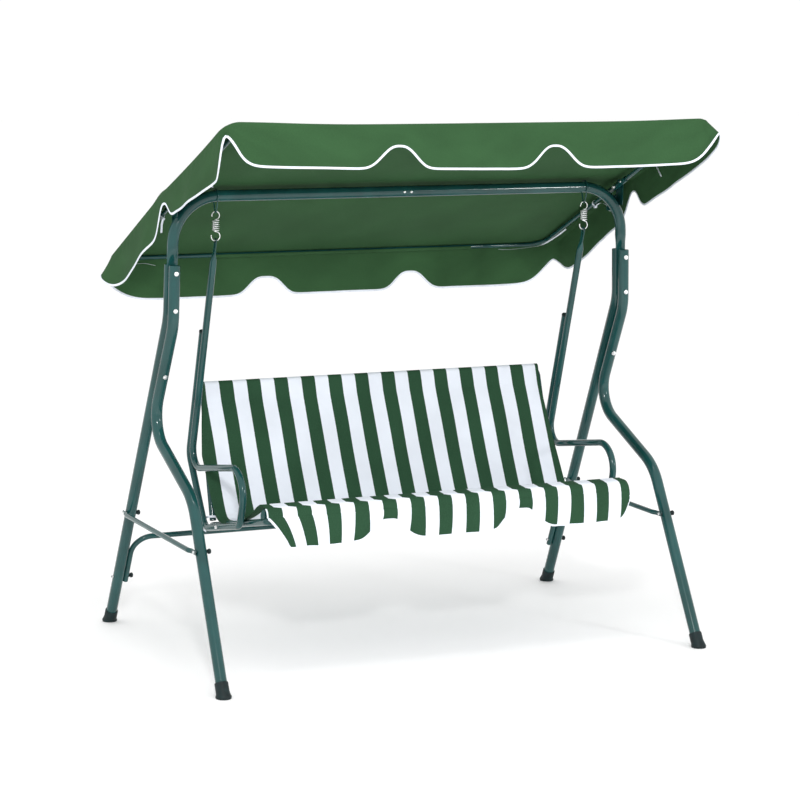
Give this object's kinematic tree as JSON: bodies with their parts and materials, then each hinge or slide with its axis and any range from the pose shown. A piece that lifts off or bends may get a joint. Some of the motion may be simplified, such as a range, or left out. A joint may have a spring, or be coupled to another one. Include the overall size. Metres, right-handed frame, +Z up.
{
  "type": "canopy swing bench",
  "caption": "Garden swing bench: a tube stand with a tilting scalloped canopy, and a striped sling seat that hangs from it on springs.",
  "frame": {"origin": "on the ground, halfway between the four feet", "axes": "+X along the bench's width, +Y towards its rear, +Z up; the seat faces -Y"},
  "size_m": [1.7022, 1.1, 1.7064],
  "materials": {
    "powder_coated_steel": "gloss powder coat, dark teal green",
    "zinc_plated_steel": "bright zinc plate",
    "black_plastic": "moulded, matt",
    "green_canvas": "plain woven canopy cloth with white piping",
    "striped_canvas": "woven cloth in green and white stripes, white piping"
  },
  "bodies": {
    "stand": {"arch_left": "powder_coated_steel", "front_leg_left": "powder_coated_steel", "rear_leg_left": "powder_coated_steel", "side_brace_left": "powder_coated_steel", "canopy_bracket_left": "powder_coated_steel", "leg_bolt_upper_left": "zinc_plated_steel", "leg_bolt_middle_left": "zinc_plated_steel", "leg_bolt_lower_left": "zinc_plated_steel", "tilt_bolt_left": "zinc_plated_steel", "bracket_bolt_left": "zinc_plated_steel", "foot_cap_front_left": "black_plastic", "foot_cap_rear_left": "black_plastic", "brace_knob_front_left": "black_plastic", "brace_knob_rear_left": "black_plastic", "tie_knob_left": "black_plastic", "arch_right": "powder_coated_steel", "front_leg_right": "powder_coated_steel", "rear_leg_right": "powder_coated_steel", "side_brace_right": "powder_coated_steel", "canopy_bracket_right": "powder_coated_steel", "leg_bolt_upper_right": "zinc_plated_steel", "leg_bolt_middle_right": "zinc_plated_steel", "leg_bolt_lower_right": "zinc_plated_steel", "tilt_bolt_right": "zinc_plated_steel", "bracket_bolt_right": "zinc_plated_steel", "foot_cap_front_right": "black_plastic", "foot_cap_rear_right": "black_plastic", "brace_knob_front_right": "black_plastic", "brace_knob_rear_right": "black_plastic", "tie_knob_right": "black_plastic", "rear_tie_bar": "powder_coated_steel", "arch_sleeve": "zinc_plated_steel"},
    "hanger_loops": {"wire_loop_left": "powder_coated_steel", "wire_loop_right": "powder_coated_steel"},
    "springs": {"spring_left": "zinc_plated_steel", "spring_right": "zinc_plated_steel"},
    "bench": {"hanger_left": "powder_coated_steel", "side_rail_left": "powder_coated_steel", "hanger_bolt_lower_left": "zinc_plated_steel", "hanger_bolt_upper_left": "zinc_plated_steel", "seat_bolt_left": "zinc_plated_steel", "upright_cap_left": "black_plastic", "hanger_right": "powder_coated_steel", "side_rail_right": "powder_coated_steel", "hanger_bolt_lower_right": "zinc_plated_steel", "hanger_bolt_upper_right": "zinc_plated_steel", "seat_bolt_right": "zinc_plated_steel", "upright_cap_right": "black_plastic", "seat_frame": "powder_coated_steel", "seat_front_tube": "powder_coated_steel", "seat_rear_tube": "powder_coated_steel", "back_frame": "powder_coated_steel", "sling": "striped_canvas"},
    "canopy": {"arm_sleeve_left": "powder_coated_steel", "arm_sleeve_right": "powder_coated_steel", "canopy_front_bow": "powder_coated_steel", "canopy_rear_bow": "powder_coated_steel", "canopy_cover": "green_canvas"}
  },
  "joints": [
    {"name": "loop_swing", "type": "hinge", "parent": "stand", "child": "hanger_loops", "pos_m": [0, 0, 1.457], "axis": [1, 0, 0], "range_deg": [-20, 20]},
    {"name": "spring_stretch", "type": "slide", "parent": "hanger_loops", "child": "springs", "axis": [0, 0, -1], "range_m": [0, 0.03], "stiffness_N_per_m": 60000, "springref_m": -0.0017, "deforming": ["spring_left", "spring_right"]},
    {"name": "bench_rock", "type": "hinge", "parent": "springs", "child": "bench", "pos_m": [0, 0, 1.317], "axis": [1, 0, 0], "range_deg": [-8, 8]},
    {"name": "canopy_tilt", "type": "hinge", "parent": "stand", "child": "canopy", "pos_m": [0, 0, 1.457], "axis": [1, 0, 0], "range_deg": [-4, 25]}
  ]
}
